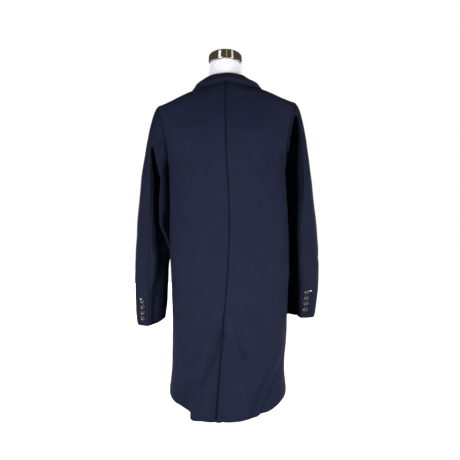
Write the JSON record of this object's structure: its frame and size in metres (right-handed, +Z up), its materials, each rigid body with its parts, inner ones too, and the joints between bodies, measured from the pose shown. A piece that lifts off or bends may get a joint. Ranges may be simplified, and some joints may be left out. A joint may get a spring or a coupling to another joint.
{
  "type": "wool coat on a dress form",
  "caption": "Straight single-breasted navy wool topcoat with a notched collar, centre back vent and buttoned cuffs, hanging on a limbless dress form.",
  "frame": {"origin": "centre of the round base's underside, on the floor", "axes": "+Z up, the front of the coat faces -Y, the wearer's left is +X"},
  "size_m": [0.5205, 0.2763, 0.9744],
  "materials": {
    "wool": "milled wool with a short nap",
    "horn": "satin",
    "jersey": "smooth white jersey",
    "chrome": "polished",
    "steel": "satin"
  },
  "bodies": {
    "root": {"back_left": "wool", "back_right": "wool", "vent_underlap": "wool", "front_left": "wool", "front_right": "wool", "lapel_left": "wool", "lapel_right": "wool", "collar": "wool", "sleeve_left_top": "wool", "sleeve_left_under": "wool", "sleeve_right_top": "wool", "sleeve_right_under": "wool", "cuff_button_left_1": "horn", "cuff_button_left_2": "horn", "cuff_button_left_3": "horn", "cuff_button_left_4": "horn", "cuff_button_right_1": "horn", "cuff_button_right_2": "horn", "cuff_button_right_3": "horn", "cuff_button_right_4": "horn", "front_button_1": "horn", "front_button_2": "horn", "front_button_3": "horn", "form_torso": "jersey", "form_neck_cap": "chrome", "form_pole": "steel", "form_base": "steel"}
  },
  "joints": []
}
